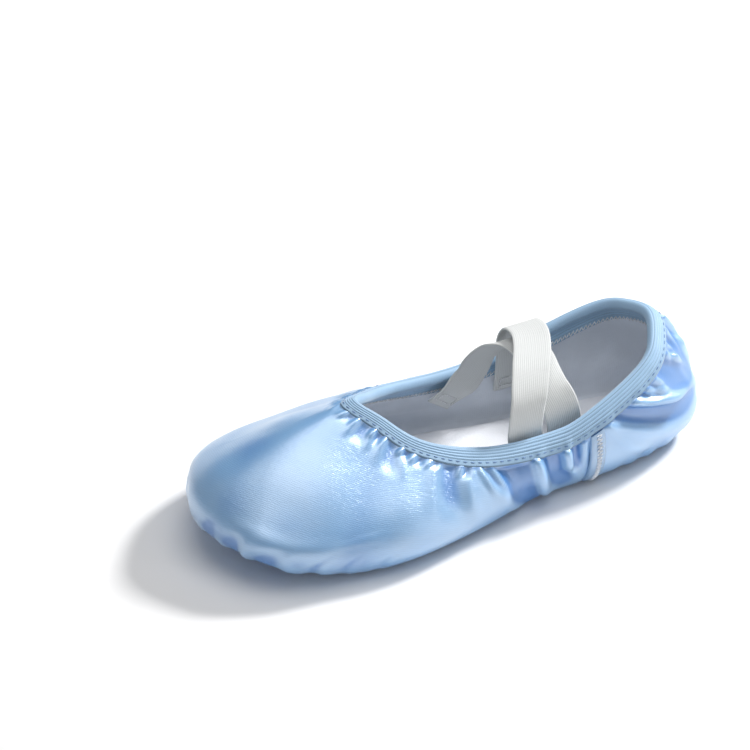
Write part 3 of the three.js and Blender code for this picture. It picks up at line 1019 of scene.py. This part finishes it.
class SLIPPER_OT_binding(bpy.types.Operator):
    """Folds the ribbed elastic over the edges of satin and lining, all round the opening"""

    bl_idname = "slipper.binding"
    bl_label = "Binding"

    def execute(self, context):
        s = np.arange(-HALF * TAPE_COLUMNS, HALF * TAPE_COLUMNS) / TAPE_COLUMNS
        share = tape_share(s)[:, None]
        wave = binding_wave(s)[:, None]
        down, lift = tape_profile()
        v = reach(s, down[None, :] * share)
        outer = off_wall(s, v, GAP + TAPE * lift[None, :] + ramp(down, 3.0, TAPE_DEPTH)[None, :] * wave)

        start = reach(s, [1.2])
        low, out = wall(s[:, None], start)[:, 0], outward(s[:, None], start)[:, 0]
        up = wall(s[:, None], np.zeros((len(s), 1)))[:, 0] - low
        up /= np.linalg.norm(up, axis=1, keepdims=True)
        whole = SATIN + GAP + COTTON
        middle = low - out * (whole / 2)
        half = whole / 2 + GAP + TAPE * 0.8
        over = [
            (middle + out * half * math.cos(turn) + up * 1.5 * math.sin(turn))[:, None] for turn in OVER_CREST
        ]

        inside = lining_depth(s, v[:, ::-1]) + COTTON + GAP
        inner = off_wall(s, v[:, ::-1], -(inside + (TAPE * lift[::-1])[None, :]))
        back_v = reach(s, np.linspace(TAPE_DEPTH, 2.2, BACK_ROWS))
        back = off_wall(s, back_v, -(lining_depth(s, back_v) + COTTON + GAP * 0.6))
        under_down = np.linspace(2.0, TAPE_DEPTH, UNDER_ROWS)
        under_lift = GAP * 0.6 + ramp(under_down, 3.0, TAPE_DEPTH)[None, :] * wave
        under = off_wall(s, reach(s, under_down[None, :] * share), under_lift)

        points = np.concatenate([outer, *over, inner, back, under], 1)
        points = np.concatenate([points, points[:, :1]], 1)
        width = np.cumsum(np.linalg.norm(np.diff(points, axis=1), axis=-1), 1)
        width = np.concatenate([np.zeros((len(s), 1)), width], 1)
        # The groove number marks painted shade on the binding: full on the hidden rows, none on the crest, and
        # between the ribs in the grooves.
        crest, hidden = np.zeros(len(OVER_CREST)), np.ones(BACK_ROWS + UNDER_ROWS)
        groove = np.concatenate([1 - lift, crest, 1 - lift[::-1], hidden])
        groove = np.clip(np.append(groove, groove[0]) / 0.38, 0, 1)
        piece = make_mesh("throat_binding", *grid(points, along_binding(s), width, close_columns=True))
        mark(piece, "groove", np.repeat(groove[None, :], len(s), 0))
        tidy_mesh(piece, merge=0.000005, face_outwards=True)
        finish_piece(
            piece, "ribbed_elastic_blue", ["throat_binding_front", "throat_binding_heel"]
        )
        return {"FINISHED"}


def binding_wave(s):
    """How far the lower edge of the binding is pushed out and in by the gathers under it."""
    ring = np.arange(-HALF * TAPE_COLUMNS, HALF * TAPE_COLUMNS + 1) / TAPE_COLUMNS
    push = gathers(ring, tape_edge(ring) + 3.0)[:-1, 0]
    smoothing = np.hanning(13) / np.hanning(13).sum()
    soft = np.convolve(np.concatenate([push[-6:], push, push[:6]]), smoothing, "valid")
    soft = np.append(soft, soft[0])
    return np.interp(fold_back(s), ring, np.clip(0.35 * soft, -0.25, 0.6))


def on_binding(s, down, lift):
    """Points on the outer face of the binding."""
    wave = binding_wave(s) * float(ramp(np.array(down), 3.0, TAPE_DEPTH))
    return off_wall(s, reach(s, down * tape_share(s)[:, None]), (lift + wave)[:, None])[:, 0]


def in_binding(s, down, lift):
    """Points on the inner face of the binding."""
    v = reach(s, [down])
    return off_wall(s, v, -(lining_depth(s, v) + COTTON + GAP + lift))[:, 0]


class SLIPPER_OT_binding_stitches(bpy.types.Operator):
    """Sews the binding down: a row of stitches outside and a zigzag inside"""

    bl_idname = "slipper.binding_stitches"
    bl_label = "Binding Stitches"

    def execute(self, context):
        s = np.linspace(-HALF, HALF, 1441)
        size = sizes()
        row = running(on_binding(s, 7.5, GAP + TAPE * 0.8), size.stitch_step / MM)
        sew(
            "binding_stitches_outside", row, size.stitch, size.thread, "blue_thread",
            ["binding_thread_front", "binding_thread_heel"],
        )
        row = zigzag(in_binding(s, 6.6, TAPE * 0.9), in_binding(s, 8.6, TAPE * 0.9), ZIGZAG_STEP)
        sew("binding_stitches_inside", row, 0.0022, size.thread * 0.8, "white_thread")
        return {"FINISHED"}


SECTION_BEHIND = 24.0  # millimetres of slipper in the section behind each side seam
# The felled band in section: how far each line of it is behind the seam, and how far off the satin.
BAND = [
    (-0.35, -0.5), (-0.1, 0.35), (0.3, 0.85), (1.5, 0.8), (2.7, 0.85), (3.9, 0.8), (4.7, 0.75), (5.1, 0.35),
    (5.3, -0.4),
]


def seam_line(side, back, lift, count=60):
    """Points down a side seam, a little way behind it, standing off the satin."""
    s = np.full(1, side * (SEAM + back / SECTION_BEHIND))
    v = np.linspace(reach(s, [TAPE_DEPTH + 0.4])[0, 0], 1.06, count)
    return off_wall(s, v[None, :], lift)[0]


class SLIPPER_OT_side_seams(bpy.types.Operator):
    """Lays the felled seam allowance behind each side seam and stitches it down in zigzag"""

    bl_idname = "slipper.side_seams"
    bl_label = "Side Seams"

    def execute(self, context):
        for word, side in (("left", 1), ("right", -1)):
            rows = np.stack([seam_line(side, back, lift) for back, lift in BAND])
            wobble = 0.12 * swell(rows, 21, 5.0)
            rows += outward([[side * SEAM]], 0.5)[0, 0] * wobble[..., None]
            vs = np.repeat(np.linspace(0, 34, rows.shape[1])[None, :], len(BAND), 0)
            flat, faces, uv = grid(rows, [back for back, _ in BAND], vs, flip=side > 0)
            piece = make_mesh(f"side_seam_band_{word}", flat, faces, uv)
            add_modifier(piece, "SOLIDIFY", thickness=0.0004, offset=-1.0)
            add_modifier(piece, "SUBSURF", levels=1, render_levels=1)
            apply_all(piece)
            tidy_mesh(piece, merge=0.000002, face_outwards=True)
            finish_piece(piece, "satin_band", [f"side_seam_fell_{word}"])
            row = zigzag(seam_line(side, 1.3, 1.35, 200), seam_line(side, 4.2, 1.35, 200), ZIGZAG_STEP)
            thick = sizes().thread * 1.1
            sew(f"side_seam_stitches_{word}", row, 0.0029, thick, "seam_thread")
        return {"FINISHED"}


def open_curve(points, count):
    """A smooth open curve through points, with its directions."""
    p = np.array(points, float)
    padded = np.concatenate([[2 * p[0] - p[1]], p, [2 * p[-1] - p[-2]]])
    knots = np.concatenate([[0], np.cumsum(np.sqrt(np.linalg.norm(np.diff(padded, axis=0), axis=1)))])
    found = []
    for t in np.linspace(knots[1], knots[-2] - 1e-6, count):
        i = int(np.searchsorted(knots, t, "right")) - 1
        i = min(max(i, 1), len(padded) - 3)
        k = knots[i - 1 : i + 3]
        q = padded[i - 1 : i + 3]
        a = [q[j] + (q[j + 1] - q[j]) * (t - k[j]) / (k[j + 1] - k[j]) for j in range(3)]
        b = [a[j] + (a[j + 1] - a[j]) * (t - k[j]) / (k[j + 2] - k[j]) for j in range(2)]
        found.append(b[0] + (b[1] - b[0]) * (t - k[1]) / (k[2] - k[1]))
    found = np.array(found)
    along = np.gradient(found, axis=0)
    return found, along / np.linalg.norm(along, axis=1, keepdims=True)


STRAP_RINGS, STRAP_RIBS = 150, 0.82  # rings of points along a strap, and millimetres from rib to rib


def strap_frames(name):
    """Centres of a strap's rings and their directions along, across and out of its face."""
    centre, along = open_curve(STRAPS[name], STRAP_RINGS)
    across = np.array([1.0, 0, 0]) - along * along[:, :1]
    across /= np.linalg.norm(across, axis=1, keepdims=True)
    return centre, along, across, np.cross(along, across)


class SLIPPER_OT_straps(bpy.types.Operator):
    """Makes the two elastic straps that cross over the instep"""

    bl_idname = "slipper.straps"
    bl_label = "Straps"

    def execute(self, context):
        width = sizes().strap_width / MM
        thick = sizes().strap_thickness / MM
        for name in STRAPS:
            centre, _, across, facing = strap_frames(name)
            w = np.concatenate([np.linspace(-1, 1, 31), [1.0], np.linspace(1, -1, 31), [-1.0]])
            h = np.concatenate([np.full(31, 0.5), [0.0], np.full(31, -0.5), [0.0]])
            edge = 1 - 0.55 * np.abs(w) ** 24
            ribs = 1 + 0.06 * np.cos(w * math.pi * width / STRAP_RIBS)
            far = length_along(centre)
            curl = 0.25 * np.sin(far / 9.0)[:, None] * (w**2 - 0.5)[None, :]
            bow = w[None, :] * width / 2 + 0.15 * np.sin(far / 6.0)[:, None]
            points = (
                centre[:, None]
                + across[:, None] * bow[..., None]
                + facing[:, None] * ((h * thick * edge * ribs)[None, :] + curl)[..., None]
            )
            points = np.concatenate([points, points[:, :1]], 1)
            vs = np.repeat(np.concatenate([w, w[:1]])[None, :] * width / 2, len(centre), 0)
            flat, faces, uv = grid(points, far, vs)
            rows = points.shape[1]
            for ring, turn in ((0, -1), (STRAP_RINGS - 1, 1)):
                loop = range(rows - 1)[::turn]
                faces.append([ring * rows + k for k in loop])
                uv.extend([(far[ring], vs[0][k]) for k in loop])
            piece = make_mesh(f"{name}_elastic", flat, faces, uv)
            tidy_mesh(piece, merge=0.000005, face_outwards=True)
            finish_piece(piece, "white_elastic", [name])
        return {"FINISHED"}


class SLIPPER_OT_tacks(bpy.types.Operator):
    """Sews each strap end to the lining with a small box of stitches"""

    bl_idname = "slipper.tacks"
    bl_label = "Strap Tacks"

    def execute(self, context):
        ends = {
            "strap_tack_left_front": ("strap_left_front_to_right_back", 0),
            "strap_tack_right_back": ("strap_left_front_to_right_back", 1),
            "strap_tack_left_back": ("strap_left_back_to_right_front", 0),
            "strap_tack_right_front": ("strap_left_back_to_right_front", 1),
        }
        for name, (strap, end) in ends.items():
            centre, along, across, facing = strap_frames(strap)
            if end:
                centre, along, across, facing = (x[::-1] for x in (centre, -along, across, facing))
            inward = facing[4] * (-1 if facing[4][1] * centre[4][1] > 0 else 1)
            middle = centre[6] + inward * (sizes().strap_thickness / MM / 2 + 0.25)
            box = np.array([
                middle + across[6] * x + along[6] * y
                for x, y in ((-5.6, -2), (5.6, -2), (5.6, 2), (-5.6, 2), (-5.6, -2))
            ])
            sew(
                f"{name}_stitches", running(box, 1.7), 0.0013, sizes().thread, "white_thread",
                [name], "forefoot",
            )
        return {"FINISHED"}


class SLIPPER_OT_insoles(bpy.types.Operator):
    """Makes the padded cotton insole in its two lengths"""

    bl_idname = "slipper.insoles"
    bl_label = "Insoles"

    def execute(self, context):
        base = SATIN + GAP + COTTON + GAP + 0.2
        for name, low, high in (("forefoot_insole", -SEAM, SEAM), ("heel_insole", SEAM, ROUND - SEAM)):
            s = columns_between(low, high)
            v = np.linspace(1.16, 2, 16)
            ground = wall(s[:, None], v[None, :])
            rise = np.sin(np.clip((v - 1.16) / 0.3, 0, 1) * math.pi / 2) ** 0.6
            dimple = 0.12 * swell(ground, 13, 9.0)
            low_face = ground + np.array([0, 0, 1.0]) * base
            high_face = ground + np.array([0, 0, 1.0]) * (base + 0.3 + 2.2 * rise[None, :] + dimple)[..., None]
            points = np.concatenate([low_face[:, ::-1], high_face], 1)
            vs = np.repeat(np.linspace(0, 60, points.shape[1])[None, :], len(s), 0)
            piece = make_mesh(f"{name}_pad", *grid(points, along_edge(s), vs, flip=True))
            tidy_mesh(piece)
            seal_ends(piece)
            finish_piece(piece, "insole_cotton", [name])
        return {"FINISHED"}


def seal_ends(obj):
    """Closes the open ends of a pad and makes its faces point outwards."""
    b = bmesh.new()
    b.from_mesh(obj.data)
    bmesh.ops.holes_fill(b, edges=[e for e in b.edges if e.is_boundary], sides=0)
    bmesh.ops.recalc_face_normals(b, faces=b.faces)
    b.to_mesh(obj.data)
    b.free()


def sole_outline(name, grow=0.0, count=40):
    """The outline of a suede sole, in millimetres."""
    front, back, wide_at, wide, narrow_at, narrow = SOLES[name]
    full, slim, third, fullness = wide + grow, narrow + grow, (wide_at - narrow_at) / 3, 0.56
    side = np.array([
        (front + grow, 0), (front + grow, full * fullness), (wide_at + (front - wide_at) * fullness, full),
        (wide_at, full), (wide_at - third, full), (narrow_at + third, slim),
        (narrow_at, slim), (narrow_at + (back - narrow_at) * fullness, slim), (back - grow, slim * fullness),
        (back - grow, 0),
    ], float)
    t = np.linspace(0, 1, count, endpoint=False)[:, None]
    found = [
        a * (1 - t) ** 3 + 3 * b * t * (1 - t) ** 2 + 3 * c * t**2 * (1 - t) + d * t**3
        for a, b, c, d in (side[0:4], side[3:7], side[6:10])
    ]
    left = np.concatenate(found)
    right = left[1:][::-1] * (1, -1)
    return np.concatenate([left, [[back - grow, 0]], right])


class SLIPPER_OT_soles(bpy.types.Operator):
    """Makes the two suede soles, with a rounded edge and a slightly worn face"""

    bl_idname = "slipper.soles"
    bl_label = "Soles"

    def execute(self, context):
        for name in SOLES:
            outline = sole_outline(name)
            points = np.stack([at_height(let_out(outline, grow), z) for grow, z in SOLE_EDGE], 1)
            vs = np.repeat(np.linspace(0, 60, points.shape[1])[None, :], len(points), 0)
            us = np.arange(len(points)) * 0.8
            piece = make_mesh(f"{name}_suede", *grid(points, us, vs, close_columns=True))
            seal_ends(piece)
            finish_piece(piece, "suede", [name], SOLE_BODIES[name])
        return {"FINISHED"}


def at_height(outline, z):
    return np.concatenate([outline, np.full((len(outline), 1), float(z))], 1)


def let_out(outline, grow):
    """An outline scaled about its middle so that its ends and sides move outwards, or inwards if negative."""
    middle = outline.mean(0)
    span = (outline.max(0) - outline.min(0)) / 2
    scale = np.maximum((span + grow) / span, 0.15)
    return middle + (outline - middle) * scale


class SLIPPER_OT_sole_stitches(bpy.types.Operator):
    """Whips each sole to the satin with a ring of stitches round its edge"""

    bl_idname = "slipper.sole_stitches"
    bl_label = "Sole Stitches"

    def execute(self, context):
        for name in SOLES:
            path = at_height(sole_outline(name, 0.35), 0.95)
            places, lie = running(np.concatenate([path, path[:1]]), 2.3)
            row = places, lie * 0.8 + np.array([0, 0, 0.45])
            sew(
                f"{name}_stitches", row, 0.0015, sizes().thread, "seam_thread",
                [f"{name}_thread"], SOLE_BODIES[name],
            )
        return {"FINISHED"}


# ---- The stage

YAW = math.radians(154)
TILT = math.radians(38)
DISTANCE = 5.0
VIEW_WIDTH = 0.3061
AIM_RIGHT, AIM_UP = -0.0278, 0.0438
SENSOR = 36
WORLD_STRENGTH = 0.26
# Where each light stands, its size, its power and its colour.
LIGHTS = {
    "key": ((-0.925, -0.15, 0.9), (0.24, 0.24), 18, (1.0, 0.99, 0.98)),
    "overhead": ((0.0, 0.1, 1.45), (1.1, 1.2), 8.8, (1.0, 1.0, 1.0)),
    "side": ((-0.9, 1.2, 0.45), (0.2, 0.9), 2, (1.0, 1.0, 1.0)),
}


def area_light(name, place, size, energy, tint):
    """A soft light that faces the slipper."""
    data = bpy.data.lights.new(name, "AREA")
    data.shape = "RECTANGLE"
    data.size, data.size_y = size
    data.energy = energy
    data.color = tint
    obj = bpy.data.objects.new(name, data)
    obj.location = place
    obj.rotation_euler = (Vector((0, 0, 0.02)) - Vector(place)).to_track_quat("-Z", "Y").to_euler()
    bpy.context.scene.collection.objects.link(obj)


class SLIPPER_OT_stage(bpy.types.Operator):
    """Sets the pale floor, the studio lights and the camera"""

    bl_idname = "slipper.stage"
    bl_label = "Stage"

    def execute(self, context):
        bpy.ops.mesh.primitive_plane_add(size=8, location=(0, 0, -0.0004))
        floor = context.object
        floor.name = "floor"
        f = Finish("pale_floor")
        speck = f.noise(f.place(), 3.0, 3.0)
        shade = f.mix(speck, (0.90, 0.90, 0.905), (0.92, 0.92, 0.925))
        floor.data.materials.append(f.set(Base_Color=shade, Roughness=0.7, Specular_IOR_Level=0.1))
        world = context.scene.world or bpy.data.worlds.new("studio")
        context.scene.world = world
        world.use_nodes = True
        sky = world.node_tree.nodes["Background"]
        sky.inputs["Color"].default_value = (1.0, 1.0, 1.0, 1)
        sky.inputs["Strength"].default_value = WORLD_STRENGTH
        for name, settings in LIGHTS.items():
            area_light(name, *settings)
        context.scene.view_settings.view_transform = "Standard"
        toward = Vector((math.sin(YAW) * math.cos(TILT), -math.cos(YAW) * math.cos(TILT), math.sin(TILT)))
        right = Vector((math.cos(YAW), math.sin(YAW), 0))
        up = toward.cross(right)
        aim = right * AIM_RIGHT + up * AIM_UP
        data = bpy.data.cameras.new("camera")
        data.sensor_width = SENSOR
        data.lens = SENSOR * DISTANCE / VIEW_WIDTH
        camera = bpy.data.objects.new("camera", data)
        camera.location = aim + toward * DISTANCE
        camera.rotation_euler = (-toward).to_track_quat("-Z", "Y").to_euler()
        context.scene.collection.objects.link(camera)
        context.scene.camera = camera
        return {"FINISHED"}


OPERATORS = [
    SLIPPER_OT_stage,
    SLIPPER_OT_upper,
    SLIPPER_OT_lining,
    SLIPPER_OT_binding,
    SLIPPER_OT_binding_stitches,
    SLIPPER_OT_side_seams,
    SLIPPER_OT_straps,
    SLIPPER_OT_tacks,
    SLIPPER_OT_insoles,
    SLIPPER_OT_soles,
    SLIPPER_OT_sole_stitches,
]


class SLIPPER_PT_panel(bpy.types.Panel):
    """Lists the pieces of the slipper and its sizes and colours"""

    bl_idname = "SLIPPER_PT_panel"
    bl_label = "Ballet Slipper"
    bl_space_type = "VIEW_3D"
    bl_region_type = "UI"
    bl_category = "Slipper"

    def draw(self, context):
        for group in (context.scene.slipper_sizes, context.scene.slipper_colours):
            for key in group.__annotations__:
                self.layout.prop(group, key)
        for operator in OPERATORS:
            self.layout.operator(operator.bl_idname)


CLASSES = [SlipperSizes, SlipperColours, *OPERATORS, SLIPPER_PT_panel]


def register():
    for cls in CLASSES:
        bpy.utils.register_class(cls)
    bpy.types.Scene.slipper_sizes = bpy.props.PointerProperty(type=SlipperSizes)
    bpy.types.Scene.slipper_colours = bpy.props.PointerProperty(type=SlipperColours)


def unregister():
    del bpy.types.Scene.slipper_colours
    del bpy.types.Scene.slipper_sizes
    for cls in reversed(CLASSES):
        bpy.utils.unregister_class(cls)


def main():
    register()
    for operator in OPERATORS:
        group, name = operator.bl_idname.split(".")
        getattr(getattr(bpy.ops, group), name)()


if __name__ == "__main__":
    main()
